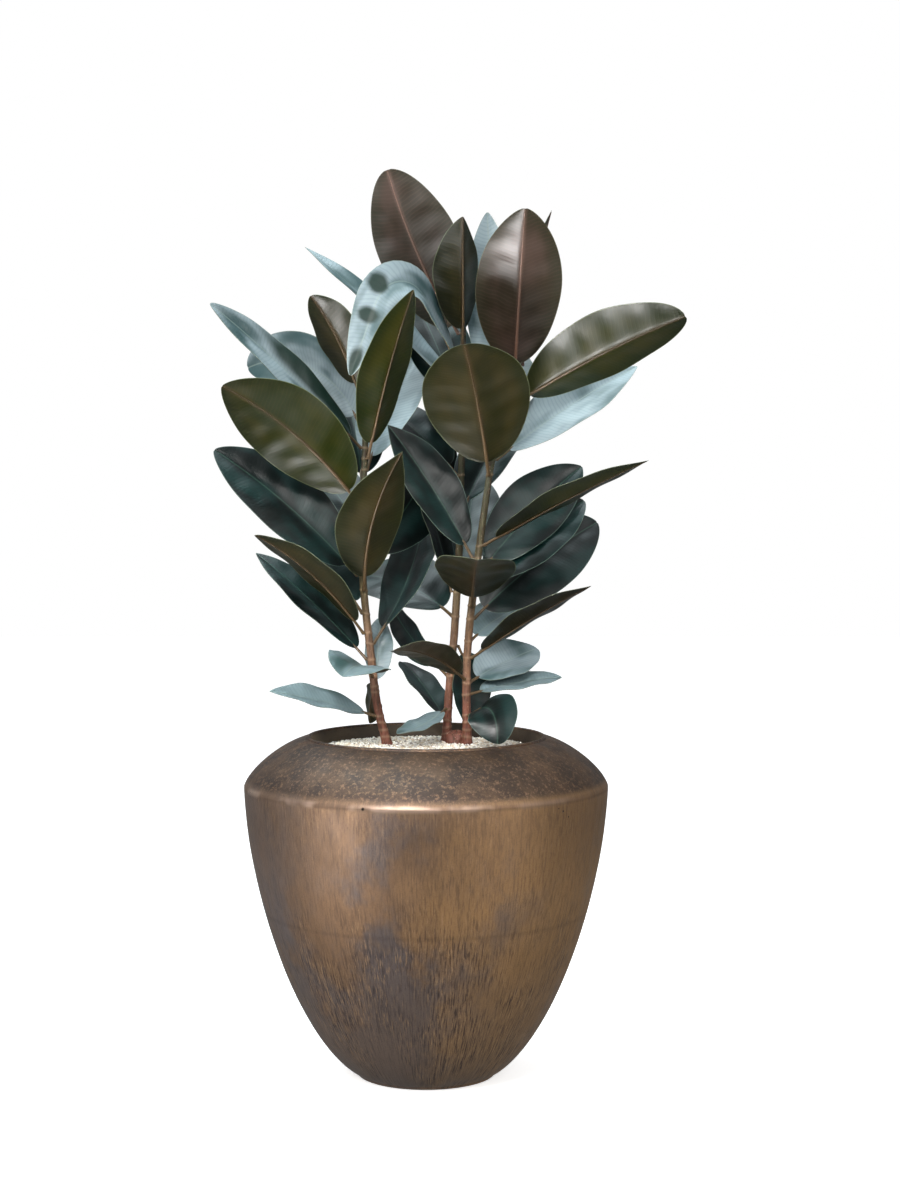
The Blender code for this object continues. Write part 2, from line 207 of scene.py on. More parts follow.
# The leaves of each stem, about in order of height
LEAVES = {
    "left": (
        Leaf(0.54, 203, 18, 0.175, 0.07, 8, -24, stalk=0.018, taper=0.8),
        Leaf(0.584, 79, 78, 0.109, 0.046, 16, 32, stalk=0.011),
        Leaf(0.577, 97, -12, 0.119, 0.046, 42, 63, stalk=0.01),
        Leaf(0.601, 259, 25, 0.155, 0.094, 46, -17, stalk=0.017, taper=0.58, sweep=-8),
        Leaf(0.626, 155, 44, 0.25, 0.075, 10, -20, taper=0.75),
        Leaf(0.65, 43, 49, 0.26, 0.091, -18, -7, stalk=0.032, taper=0.7, sweep=31),
        Leaf(0.666, 211, 51, 0.24, 0.08, 25, 12),
        Leaf(0.696, 137, 47, 0.19, 0.09, 15, -8),
        Leaf(0.732, 275, 58, 0.259, 0.109, 9, 6, taper=0.82, sweep=41),
        Leaf(0.754, 177, 48, 0.29, 0.11, 15, -56),
        Leaf(0.778, 52, 35, 0.283, 0.112, -20, 56),
        Leaf(0.826, 118, 34, 0.22, 0.09, 15, -20),
        Leaf(0.864, 214, 48, 0.291, 0.124, 25, 55, taper=0.65),
        Leaf(0.89, 100, 50, 0.22, 0.09, 25, 10),
        Leaf(0.914, 60, 58, 0.25, 0.1, 20, 8),
        Leaf(0.931, 310, 71, 0.268, 0.099, 7, 3, taper=0.7, sweep=8),
        Leaf(0.947, 205, 45, 0.318, 0.067, 8, -57, taper=0.57),
        Leaf(0.976, 146, 60, 0.264, 0.1, 80, -91, taper=0.52),
        Leaf(1.014, 204, 71, 0.18, 0.088, 20, 29, stalk=0.032, taper=0.56),
    ),
    "middle": (
        Leaf(0.546, 238, -20, 0.138, 0.042, -20, -7, stalk=0.01, taper=0.63),
        Leaf(0.529, 120, 38, 0.158, 0.062, 17, 9, stalk=0.01, taper=0.52),
        Leaf(0.643, 28, -63, 0.128, 0.07, 48, 88, stalk=0.014, taper=0.72),
        Leaf(0.597, 133, 31, 0.172, 0.054, -20, -93, stalk=0.034, taper=0.54),
        Leaf(0.689, 134, 29, 0.223, 0.118, 33, -32),
        Leaf(0.749, 81, 35, 0.232, 0.111, -18, -1),
        Leaf(0.726, 163, 77, 0.203, 0.057, 10, -20),
        Leaf(0.85, 62, 48, 0.25, 0.095, 25, 5),
        Leaf(0.905, 145, 45, 0.23, 0.095, 25, -10),
        Leaf(0.95, 85, 48, 0.25, 0.1, 25, 5),
        Leaf(1.001, 120, 59, 0.239, 0.105, 17, -15),
        Leaf(1.034, 164, 46, 0.335, 0.08, 8, -12, taper=0.8),
        Leaf(1.104, 269, 79, 0.194, 0.088, -18, 41, taper=0.7, sweep=-4, fold=24),
        Leaf(1.067, 227, 56, 0.348, 0.067, 126, -55, taper=0.57, sweep=-36, crest=0.48, bend=0.41),
        Leaf(1.121, 162, 59, 0.276, 0.136, -15, 76, stalk=0.016, taper=0.52, sweep=16),
    ),
    "right": (
        Leaf(0.54, 302, 22, 0.129, 0.077, 113, 30, stalk=0.033, taper=0.53, sweep=-25),
        Leaf(0.572, 29, 11, 0.165, 0.05, 10, 24, stalk=0.018),
        Leaf(0.59, 46, 20, 0.16, 0.08, 10, 32, stalk=0.018),
        Leaf(0.596, 240, 28, 0.217, 0.059, 27, 24, stalk=0.018, taper=0.54),
        Leaf(0.628, 329, 33, 0.235, 0.078, 8, -8, taper=0.85),
        Leaf(0.654, 56, 25, 0.181, 0.079, 24, 24, stalk=0.016, taper=0.63),
        Leaf(0.688, 37, 37, 0.285, 0.12, 15, 56),
        Leaf(0.708, 272, 34, 0.2, 0.12, 25, -4),
        Leaf(0.734, 24, 43, 0.224, 0.108, 15, 42),
        Leaf(0.758, 32, 47, 0.248, 0.102, 14, 51, taper=0.66),
        Leaf(0.78, 182, 62, 0.24, 0.088, 10, -58, taper=0.8),
        Leaf(0.8, 338, 29, 0.29, 0.085, 6, -12, taper=0.9),
        Leaf(0.906, 259, 52, 0.275, 0.158, 20, 12),
        Leaf(0.93, 21, 36, 0.275, 0.1, 10, 36, taper=0.8),
        Leaf(0.97, 80, 50, 0.2, 0.085, 20, 10),
        Leaf(1.009, 339, 30, 0.303, 0.111, 11, -49, stalk=0.034, taper=0.52, sweep=-4, fold=27),
        Leaf(1.008, 103, 61, 0.325, 0.083, -20, -30, taper=0.67),
        Leaf(1.05, 275, 63, 0.275, 0.128, 5, 0),
        Leaf(1.07, 22, 83, 0.24, 0.078, 10, -28, taper=0.9),
    ),
}

# Leaves whose upper side has much or some pale wax bloom with painted sheen on it; the others are deep
TOP_KINDS = {
    "bloom_and_sheen_pale": {"left": (2, 15, 17, 18), "middle": (12, 14), "right": (3, 14, 17)},
    "bloom_and_sheen_faint": {"left": (1, 4), "middle": (1,), "right": (2, 6)},
}

# Leaves with a browner or greener underside; the others are olive
UNDER_KINDS = {
    "brown": {"left": (), "middle": (15,), "right": (18, 19)},
    "green": {"left": (13, 16), "middle": (), "right": (12, 16)},
}

# Screen values of each upper side's green, pale bloom with painted sheen, midrib and rim, and the noise level
# where the bloom and sheen start
TOPS = {
    "deep": ((4, 14, 13), (13, 40, 38), (56, 84, 72), (92, 114, 104), 0.50),
    "bloom_and_sheen_faint": ((54, 78, 77), (118, 138, 143), (132, 150, 142), (134, 148, 138), 0.42),
    "bloom_and_sheen_pale": ((64, 88, 90), (144, 160, 166), (138, 154, 148), (142, 156, 148), 0.46),
}
# Dark green of the painted dark reflection patches on the pale upper sides
DARK_REFLECTION_GREEN = (12, 38, 28)

# Screen values of each underside's dull and warm patches, outer part, midrib and rim
UNDERSIDES = {
    "olive": ((30, 30, 8), (44, 39, 16), (22, 28, 7), (86, 64, 45), (92, 98, 72)),
    "green": ((28, 36, 3), (46, 46, 10), (22, 32, 3), (84, 66, 40), (98, 106, 72)),
    "brown": ((46, 38, 26), (66, 52, 44), (36, 36, 20), (120, 92, 80), (92, 90, 70)),
}

# Screen values of the stalk at the stem and of the midrib
RIBS = {"olive": ((96, 76, 50), (74, 60, 40)), "brown": ((124, 90, 72), (120, 92, 78))}

# Places painted dark green as painted reflection of dark surroundings, where the pale sheen gives way: shares
# along and across the blade, and the reach of each in shares
DARK_REFLECTION_PLACES = {
    "leaf_left_17": ((0.28, -0.80, 0.46, 0.80), (0.06, 0.3, 0.24, 0.9)),
    "leaf_middle_14": ((0.565, -0.35, 0.045, 0.70), (0.71, -0.10, 0.045, 0.80), (0.96, 0.0, 0.12, 0.9)),
}

# Bark tones from the foot up: the heights between which each comes in, and its screen values
BARK_FOOT = (118, 68, 52)
BARK_TONES = ((0.53, 0.64, (122, 90, 66)), (0.63, 0.76, (88, 80, 52)), (0.76, 0.90, (62, 62, 40)))

# Casting pits in the pot's face: place, and reach in metres
POT_PITS = (
    (-0.0860, -0.2600, 0.4405, 0.0026),
    (0.1980, -0.1890, 0.4270, 0.0020),
    (0.2060, -0.1790, 0.4180, 0.0017),
    (0.1910, -0.1960, 0.4320, 0.0013),
    (-0.2440, -0.1230, 0.4490, 0.0014),
)
POT_BAND_HEIGHT = 0.253
POT_METALLIC = 0.6

# Panels of light: name, place, aim, size, watts, colour and spread in degrees
LIGHTS = (
    ("top_soft", (-0.5, 0.5, 3.1), (0, 0, 0.8), (2.2, 2.2), 84, (0.76, 0.93, 0.97), 180),
    ("front_left", (-1.65, -1.95, 2.15), (0, 0, 0.6), (2.2, 0.9), 44, (1.0, 0.98, 0.95), 180),
    ("front_right", (1.75, -1.95, 2.05), (0, 0, 0.6), (1.8, 0.8), 30, (1.0, 0.98, 0.95), 180),
    ("mouth_soft", (-0.2, -1.5, 1.6), (0, 0, 0.5), (0.4, 0.4), 1.25, (1.0, 0.98, 0.96), 34),
    ("card_left", (-0.2, -0.5, 0.56), (-0.05, -0.1, 1.3), (0.6, 0.42), 0.5, (1.0, 0.98, 0.95), 180),
    ("card_high", (-0.2, -0.5, 0.60), (0.08, 0, 1.20), (0.5, 0.42), 1.0, (1.0, 0.98, 0.98), 30),
    ("bounce_left", (-1.55, -1.3, 0.04), (0, 0, 0.8), (1.3, 1.0), 24, (1.0, 0.97, 0.94), 180),
    ("bounce_right", (1.75, -1.7, 0.04), (0, 0, 0.6), (1.2, 1.0), 9, (1.0, 0.97, 0.92), 180),
)
SUN_STRENGTH = 1.1
SUN_SPREAD = 120
SUN_TILT = (12, -8)
WORLD_STRENGTH = 0.24
FLOOR_REACH = 9.0
FLOOR_GLOW = 0.62


def rgb(red, green, blue):
    """A linear colour from the 0 to 255 values of a screen."""
    shares = [value / 255 for value in (red, green, blue)]
    return [share / 12.92 if share <= 0.04045 else ((share + 0.055) / 1.055) ** 2.4 for share in shares]


def show(made):
    bpy.context.scene.collection.objects.link(made)


class Look:
    """A material's node tree, with short calls for the nodes that the finishes use."""

    def __init__(self, name, colour=None):
        self.colour = colour
        self.material = bpy.data.materials.new(name)
        self.material.use_nodes = True
        self.tree = self.material.node_tree
        self.shader = self.tree.nodes["Principled BSDF"]

    def node(self, kind, **values):
        made = self.tree.nodes.new(kind)
        for key, value in values.items():
            setattr(made, key, value)
        return made

    def feed(self, socket, value):
        """Links a socket, or sets it where the value is a plain one."""
        if isinstance(value, bpy.types.NodeSocket):
            self.tree.links.new(value, socket)
        elif isinstance(value, (list, tuple)) and len(value) == 3 and len(socket.default_value) == 4:
            socket.default_value = (*value, 1.0)
        else:
            socket.default_value = value

    def surface(self, **values):
        for key, value in values.items():
            self.feed(self.shader.inputs[key.replace("_", " ").title().replace("Ior", "IOR")], value)

    def attribute(self, name):
        return self.node("ShaderNodeAttribute", attribute_name=name).outputs["Fac"]

    def math(self, operation, first, second=0.0):
        made = self.node("ShaderNodeMath", operation=operation)
        self.feed(made.inputs[0], first)
        self.feed(made.inputs[1], second)
        return made.outputs[0]

    def times(self, first, second):
        return self.math("MULTIPLY", first, second)

    def plus(self, first, second):
        return self.math("ADD", first, second)

    def minus(self, first, second):
        return self.math("SUBTRACT", first, second)

    def off(self, value, level):
        """How far a value is from a level, either way."""
        return self.math("ABSOLUTE", self.minus(value, level))

    def vector(self, operation, first, second=(0, 0, 0)):
        made = self.node("ShaderNodeVectorMath", operation=operation)
        self.feed(made.inputs[0], first)
        self.feed(made.inputs[1], second)
        return made.outputs["Value" if operation == "DISTANCE" else "Vector"]

    def place(self, stretch=(1, 1, 1)):
        """The object's own coordinates in metres, stretched."""
        return self.vector("MULTIPLY", self.node("ShaderNodeTexCoord").outputs["Object"], stretch)

    def around(self, across_scale, upright_scale):
        """Directions round the upright axis with the height, so that streaks run straight down a curve."""
        direction = self.vector("NORMALIZE", self.place((1, 1, 0)))
        wide = self.vector("MULTIPLY", direction, (across_scale, across_scale, 0))
        return self.vector("ADD", wide, self.place((0, 0, upright_scale)))

    def noise(self, scale, detail=3.0, roughness=0.55, stretch=(1, 1, 1), where=None):
        """Noise in the object's own coordinates, or in others that are given."""
        made = self.node("ShaderNodeTexNoise")
        where = self.place(stretch) if where is None else where
        values = {"Vector": where, "Scale": scale, "Detail": detail, "Roughness": roughness}
        for name, value in values.items():
            self.feed(made.inputs[name], value)
        return made.outputs["Fac"]

    def span(self, value, low, high, start=0.0, end=1.0):
        """Takes low to start and high to end, smoothly and clamped."""
        made = self.node("ShaderNodeMapRange", interpolation_type="SMOOTHSTEP")
        for socket, number in zip(made.inputs, (value, low, high, start, end)):
            self.feed(socket, number)
        return made.outputs[0]

    def mix(self, share, first, second):
        made = self.node("ShaderNodeMix", data_type="RGBA")
        self.feed(made.inputs[0], share)
        self.feed(made.inputs[6], first)
        self.feed(made.inputs[7], second)
        return made.outputs[2]

    def lay(self, over, share):
        """Lays a colour over what there is so far."""
        self.colour = self.mix(share, self.colour, over)

    def cover(self, over, value, low, high, most=1.0):
        """Lays a colour on, not at all where a value is at low and by most where it is at high."""
        self.lay(over, self.span(value, low, high, 0.0, most))

    def finish(self, relief, distance, **values):
        """Feeds the shader, with a bump of up to a distance in metres, and gives the material."""
        made = self.node("ShaderNodeBump")
        self.feed(made.inputs["Height"], relief)
        self.feed(made.inputs["Distance"], distance)
        self.feed(made.inputs["Strength"], 1.0)
        self.surface(base_color=self.colour, normal=made.outputs[0], **values)
        return self.material


def veins(look):
    """Ridges of the side veins, from 0 between them to 1 on one, out of the leaf's own coordinates."""
    wander = look.times(look.noise(40.0, 1.0), VEIN_SPACING * 1.2)
    slanted = look.minus(look.attribute("along"), look.times(look.attribute("rib"), VEIN_SLANT))
    wave = look.math("SINE", look.times(look.plus(slanted, wander), math.tau / VEIN_SPACING))
    return look.math("POWER", look.span(wave, -0.2, 1.0), 2.0)


def blade_noise(look, across_scale, along_scale, detail=2.0):
    """Cloudy noise drawn out along the leaf, out of its own coordinates."""
    where = look.node("ShaderNodeCombineXYZ")
    look.feed(where.inputs[0], look.times(look.attribute("sideways"), across_scale))
    look.feed(where.inputs[1], look.times(look.attribute("along"), along_scale))
    look.feed(where.inputs[2], look.attribute("leaf"))
    return look.noise(1.0, detail, 0.45, where=where.outputs[0])


def leaf_top(kind):
    """Glossy green with a pale wax bloom and painted sheen where the cloudy noise is above a level, patches
    of painted dark reflection, and faint side veins.
    """
    *colours, bloom_and_sheen_from = TOPS[kind]
    deep, bloom_and_sheen, rib_colour, rim_colour = (rgb(*colour) for colour in colours)
    look = Look("leaf_" + kind, deep)
    clouds = blade_noise(look, 30.0, 11.0)
    vein = veins(look)
    # Pale wax bloom with painted sheen: a pale blue-grey laid on where the clouds are high
    look.cover(bloom_and_sheen, clouds, bloom_and_sheen_from - BLOOM_AND_SHEEN_EDGE, bloom_and_sheen_from + BLOOM_AND_SHEEN_EDGE)
    look.lay(deep, look.times(vein, 0.16))
    look.cover(rib_colour, look.attribute("rib"), 0.0015, 0.0006, 0.5)
    # Painted dark reflection: dark green laid on at the listed places, ragged by the clouds
    ragged = look.plus(look.attribute("dark_reflection"), look.times(clouds, 0.5))
    look.cover(rgb(*DARK_REFLECTION_GREEN), ragged, 0.55, 1.0, 0.96)
    look.cover(rim_colour, look.attribute("edge"), 0.0013, 0.0004, 0.7)
    wax = blade_noise(look, 45.0, 12.0, 1.0)
    roughness = look.span(wax, 0.3, 0.7, 0.34, 0.44)
    relief = look.minus(look.times(wax, 0.2), look.times(vein, 0.08))
    return look.finish(relief, 0.0006, roughness=roughness, specular_ior_level=LEAF_GLOSS)


def leaf_underside(kind):
    """Satin, warmer towards the midrib and duller towards the rim."""
    dull, warm, outer, rib_colour, rim_colour = (rgb(*colour) for colour in UNDERSIDES[kind])
    look = Look("under_" + kind, dull)
    vein = veins(look)
    look.cover(warm, blade_noise(look, 25.0, 14.0), 0.36, 0.64)
    look.cover(outer, look.attribute("edge"), 0.030, 0.002, 0.75)
    look.lay(rib_colour, look.times(vein, 0.07))
    look.cover(rib_colour, look.attribute("rib"), 0.0055, 0.001, 0.3)
    look.cover(rim_colour, look.attribute("edge"), 0.0014, 0.0004, 0.7)
    waves = blade_noise(look, 12.0, 30.0, 1.0)
    roughness = look.span(waves, 0.3, 0.7, 0.32, 0.42)
    relief = look.plus(waves, look.times(vein, 0.06))
    return look.finish(relief, 0.0008, roughness=roughness, specular_ior_level=LEAF_GLOSS)


def rib_finish(kind):
    """The stalk and midrib, with one colour at the stem and another outwards."""
    at_stem, outwards = (rgb(*colour) for colour in RIBS[kind])
    look = Look("rib_" + kind, at_stem)
    grain = look.noise(220.0, 2.0)
    look.cover(outwards, look.attribute("along"), -0.02, 0.14)
    look.lay(rgb(52, 40, 26), look.times(grain, 0.3))
    return look.finish(grain, 0.0002, roughness=look.span(grain, 0.3, 0.7, 0.38, 0.5))


def rim_finish():
    look = Look("leaf_rim")
    colour = rgb(104, 112, 88)
    grain = look.noise(120.0, 2.0)
    look.surface(base_color=look.mix(grain, colour, [share * 0.7 for share in colour]), roughness=0.5)
    return look.material


def bark_finish():
    """Reddish at the foot and olive above, with streaks, pale specks and paler scar rings."""
    look = Look("bark_brown", rgb(*BARK_FOOT))
    for low, high, tone in BARK_TONES:
        look.cover(rgb(*tone), look.attribute("height"), low, high)
    streak = look.noise(1.0, 4.0, 0.6, (260, 260, 45))
    look.cover(rgb(58, 40, 30), streak, 0.4, 0.75)
    specks = look.noise(1.0, 2.0, stretch=(480, 480, 300))
    look.cover(rgb(176, 150, 120), specks, 0.66, 0.74, 0.7)
    look.lay(rgb(150, 126, 98), look.attribute("scar"))
    relief = look.plus(streak, look.times(specks, 0.5))
    return look.finish(relief, 0.0007, roughness=look.span(streak, 0.3, 0.7, 0.5, 0.72))


def bud_finish():
    look = Look("bud_sheath", rgb(120, 70, 58))
    grain = look.noise(1.0, stretch=(400, 400, 60))
    look.lay(rgb(150, 128, 84), grain)
    return look.finish(grain, 0.0003, roughness=0.38)


def pot_finish():
    """Bronze, greyer at the left and golden at the right, with fine upright streaks and a polished crease
    with a painted highlight.
    """
    look = Look("pot_patina", rgb(118, 106, 102))
    split = look.node("ShaderNodeSeparateXYZ")
    look.feed(split.inputs[0], look.place())
    across, height = split.outputs[0], split.outputs[2]
    clouds = look.noise(8.0, 5.0, 0.62, (1, 1, 0.7))
    tan = look.plus(clouds, look.times(look.minus(height, 0.25), 0.8))
    look.cover(rgb(148, 117, 90), tan, 0.42, 0.58)
    golden = look.plus(across, look.times(clouds, 0.5))
    look.cover(rgb(186, 144, 98), golden, 0.20, 0.40, 0.85)
    look.cover(rgb(132, 120, 116), golden, 0.18, 0.0, 0.7)
    # Painted shade towards the top of the wall and painted light towards the foot, evening out how the lamps
    # fall on the wall
    look.cover(rgb(84, 67, 54), height, 0.27, 0.42, 0.45)
    look.cover(rgb(176, 146, 120), height, 0.24, 0.04, 0.35)

    # The darker, speckled dome: blotchy patina, darkened further as painted shade
    on_dome = look.span(height, SHOULDER_HEIGHT + 0.002, SHOULDER_HEIGHT + 0.016)
    blotches = look.noise(17.0, 4.0, 0.6)
    dome_patina_and_shade = look.mix(look.span(blotches, 0.40, 0.62), rgb(44, 38, 37), rgb(78, 61, 49))
    look.lay(dome_patina_and_shade, look.times(on_dome, 0.88))
    specks = look.span(look.noise(170.0, 5.0, 0.75), 0.50, 0.64, 0.0, 0.5)
    look.lay(rgb(150, 118, 92), look.times(on_dome, specks))

    # Dark and bright streaks down the wall, strongest low in the middle
    low_middle = look.span(height, 0.34, 0.18, 0.15, 1.0)
    patchy = look.span(look.noise(13.0, stretch=(1, 1, 0.6)), 0.36, 0.60)
    streaky = look.times(low_middle, patchy)
    off_dome = look.minus(1.0, on_dome)
    dark = look.noise(1.0, 5.0, 0.68, where=look.around(92.0, 42.0))
    depth = look.times(off_dome, look.plus(0.28, look.times(streaky, 0.55)))
    look.lay(rgb(58, 52, 56), look.times(look.span(dark, 0.44, 0.64), depth))
    bright = look.noise(1.0, 5.0, 0.68, where=look.around(110.0, 52.0))
    depth = look.times(off_dome, look.plus(0.06, look.times(streaky, 0.7)))
    look.lay(rgb(212, 172, 130), look.times(look.span(bright, 0.50, 0.68), depth))
    sand = look.noise(520.0, 4.0, 0.75)
    speckle = look.plus(0.25, look.times(on_dome, 0.45))
    look.lay(rgb(50, 42, 38), look.times(look.span(sand, 0.48, 0.70), speckle))
    look.cover(rgb(60, 52, 48), look.off(height, POT_BAND_HEIGHT), 0.006, 0.0, 0.16)

    # The crease at the shoulder: a darker line along it, and a painted highlight where it is polished,
    # strongest at the left
    wear = look.noise(30.0, 4.0, stretch=(1, 1, 0.6))
    edge_line = look.span(look.off(height, SHOULDER_HEIGHT + 0.0015), 0.001, 0.007, 1.0, 0.0)
    polish_and_highlight = look.span(look.noise(11.0, 3.0), 0.42, 0.56)
    polish_and_highlight = look.times(polish_and_highlight, look.span(across, 0.04, 0.15, 1.0, 0.3))
    # edge: the polished part of the crease, which gets the painted highlight and a lower roughness
    edge = look.times(edge_line, polish_and_highlight)
    look.lay(rgb(90, 72, 60), look.times(edge_line, 0.5))
    # Painted highlight along the polished crease
    look.lay(rgb(190, 164, 146), look.times(edge, 0.5))

    relief = look.plus(look.times(look.times(dark, 0.45), off_dome), look.times(sand, 0.45))
    for x, y, z, reach in POT_PITS:
        distance = look.vector("DISTANCE", look.place(), (x, y, z))
        ragged = look.plus(distance, look.times(sand, reach * 1.2))
        pit = look.span(ragged, reach * 0.9, reach * 1.7, 1.0, 0.0)
        # Each pit is painted near black inside: painted shade in its hollow
        look.lay(rgb(24, 18, 16), pit)
        relief = look.minus(relief, look.times(pit, 4.0))
    roughness = look.plus(look.span(wear, 0.3, 0.7, 0.40, 0.54), look.times(edge_line, 0.10))
    roughness = look.minus(roughness, look.times(edge, 0.26))
    return look.finish(relief, 0.0005, metallic=POT_METALLIC, roughness=roughness)


def pot_inside_finish():
    look = Look("pot_inside", rgb(66, 56, 46))
    sand = look.noise(420.0, 3.0)
    clouds = look.noise(18.0, 4.0)
    look.cover(rgb(88, 76, 62), clouds, 0.35, 0.65)
    look.cover(rgb(44, 36, 30), sand, 0.5, 0.8, 0.4)
    return look.finish(sand, 0.0004, roughness=0.62)


def soil_finish():
    look = Look("potting_mix", rgb(36, 26, 18))
    crumbs = look.noise(260.0, 5.0, 0.7)
    look.lay(rgb(78, 58, 42), crumbs)
    return look.finish(crumbs, 0.002, roughness=0.95)


def stone_finish(name, colour):
    look = Look(name, colour)
    grain = look.noise(500.0, 3.0)
    look.cover([share * 0.72 for share in colour], grain, 0.35, 0.75)
    return look.finish(grain, 0.0003, roughness=0.82)


def add_piece(name, verts, faces, materials, kinds=None, attributes=None, node=None, sharp=50):
    """A smooth-shaded mesh that rides on the one body and stands for the CAD node, if one is named."""
    mesh = bpy.data.meshes.new(name)
    mesh.from_pydata(np.asarray(verts).tolist(), [], faces)
    for material in materials:
        mesh.materials.append(material)
    if kinds is not None:
        mesh.polygons.foreach_set("material_index", kinds)
    for key, values in (attributes or {}).items():
        layer = mesh.attributes.new(key, "FLOAT", "POINT")
        layer.data.foreach_set("value", np.asarray(values, np.float32))
    mesh.shade_smooth()
    mesh.set_sharp_from_angle(angle=math.radians(sharp))
    mesh.validate()
    piece = bpy.data.objects.new(name, mesh)
    show(piece)
    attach(piece, "root")
    if node:
        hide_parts(node)
    return piece


def turned(radii, turns, heights):
    """Points round the upright axis."""
    return np.stack([radii * np.cos(turns), radii * np.sin(turns), heights + 0 * turns], axis=-1)


def grid_faces(rows, columns, start=0, flip=False, closed=False):
    """Quads between rows of points that are stored one row after another."""
    faces = []
    for row in range(rows - 1):
        for column in range(columns if closed else columns - 1):
            after = (column + 1) % columns
            a, b = start + row * columns + column, start + row * columns + after
            quad = (a, a + columns, b + columns, b)
            faces.append(quad[::-1] if flip else quad)
    return faces


def tube_faces(rows, columns, start=0, flip=False):
    """Quads round a tube of rings, and a face over each end."""
    first = tuple(range(start, start + columns))
    last = tuple(range(start + (rows - 1) * columns, start + rows * columns))
    ends = [first[::-1], last] if flip else [first, last[::-1]]
    return grid_faces(rows, columns, start, flip, closed=True) + ends


# Stems, by the rule of the part's source
def smooth_line(points, steps_between=8):
    """A Catmull-Rom curve through the points."""
    line = np.array(points, float)
    line = np.vstack([2 * line[0] - line[1], line, 2 * line[-1] - line[-2]])
    curve = []
    for before, start, end, after in zip(line, line[1:], line[2:], line[3:]):
        for step in range(steps_between):
            t = step / steps_between
            curve.append(
                0.5 * (2 * start + (end - before) * t
                       + (2 * before - 5 * start + 4 * end - after) * t**2
                       + (3 * start - before - 3 * end + after) * t**3)
            )
    curve.append(line[-2])
    return np.array(curve)


STEM_CURVES = {stem: smooth_line(points) for stem, points in STEM_LINES.items()}


def stem_point(stem, height):
    curve = STEM_CURVES[stem]
    across = [np.interp(height, curve[:, 2], curve[:, axis]) for axis in (0, 1)]
    return np.array([*across, height])


def stem_radius(stem, height):
    """The stem's taper, without the flare at its foot."""
    foot, tip = STEM_CURVES[stem][0, 2], STEM_CURVES[stem][-1, 2]
    return STEM_FOOT_RADIUS + (STEM_TIP_RADIUS - STEM_FOOT_RADIUS) * (height - foot) / (tip - foot)


def round_section(radius):
    """Sideways and upward offsets of eight points round a stalk."""
    turns = [math.pi - math.tau * point / SECTION_POINTS for point in range(SECTION_POINTS)]
    return [(radius * math.cos(turn), radius * math.sin(turn)) for turn in turns]


def seat_distance(stem, height, heading, rim):
    """Distance out from the stem's middle line at which a stalk's rim just clears the bark."""
    outward = np.array([math.cos(heading), math.sin(heading), 0])
    left = np.array([-math.sin(heading), math.cos(heading), 0])
    corner = math.tau / STEM_SIDES
    flats = (np.arange(STEM_SIDES) + 0.5) * corner - heading
    flats = flats[np.cos(flats) > math.sin(corner / 4)]
    foot, tip = STEM_CURVES[stem][0, 2], STEM_CURVES[stem][-1, 2]
    distance = 0.0
    for offset in rim:
        level = min(max(height + offset[2], foot), tip)
        offset = offset - (stem_point(stem, level) - stem_point(stem, height))
        flat_distance = stem_radius(stem, level) * math.cos(corner / 2)
        bark = np.min((flat_distance - (offset @ left) * np.sin(flats)) / np.cos(flats))
        distance = max(distance, bark - offset @ outward)
    return distance + GAP


def leaf_frames(stem, leaf, shares):
    """Middle line points and the side and top directions at shares of the leaf's whole length."""
    along = np.linspace(0, 1, LINE_SAMPLES)
    stalk = leaf.stalk / leaf.length
    blade = np.clip((along - stalk) / (1 - stalk), 0, 1)
    turned = blade
    if leaf.crest is not None:
        ramp = np.clip((blade - leaf.crest + leaf.bend / 2) / leaf.bend, 0, 1)
        turned = ramp * ramp * (3 - 2 * ramp)
    rise = np.radians(leaf.rise - leaf.droop * turned)
    heading = np.radians(leaf.heading + leaf.sweep * blade)
    roll = math.radians(leaf.roll)
    forward = np.stack([np.cos(rise) * np.cos(heading), np.cos(rise) * np.sin(heading), np.sin(rise)], axis=1)
    level = np.stack([-np.sin(heading), np.cos(heading), 0 * heading], axis=1)
    side = level * math.cos(roll) + np.cross(forward, level) * math.sin(roll)
    top = np.cross(forward, side)
    steps = (forward[1:] + forward[:-1]) / 2 * leaf.length / (LINE_SAMPLES - 1)
    line = np.vstack([np.zeros(3), np.cumsum(steps, axis=0)])
    rim = [
        line[place] + across * side[place] + up * top[place]
        for place in np.searchsorted(along, np.array(SEAT_STATIONS) * stalk)
        for across, up in round_section(STALK_RADIUS)
    ]
    outward = np.array([math.cos(heading[0]), math.sin(heading[0]), 0])
    line += stem_point(stem, leaf.height) + outward * seat_distance(stem, leaf.height, heading[0], rim)

    def pick(values):
        return np.stack([np.interp(shares, along, values[:, axis]) for axis in range(3)], axis=1)

    return pick(line), pick(side), pick(top)


def blade_half_width(leaf, share):
    """Half the blade's width at a share of its length, round at the foot and drawn out at the tip."""
    bluntness = 0.5 + (leaf.taper - 0.5) * TIP_TAPER_GAIN * share
    return leaf.width / 2 * np.sin(math.pi * share**WIDEST_EARLY) ** bluntness


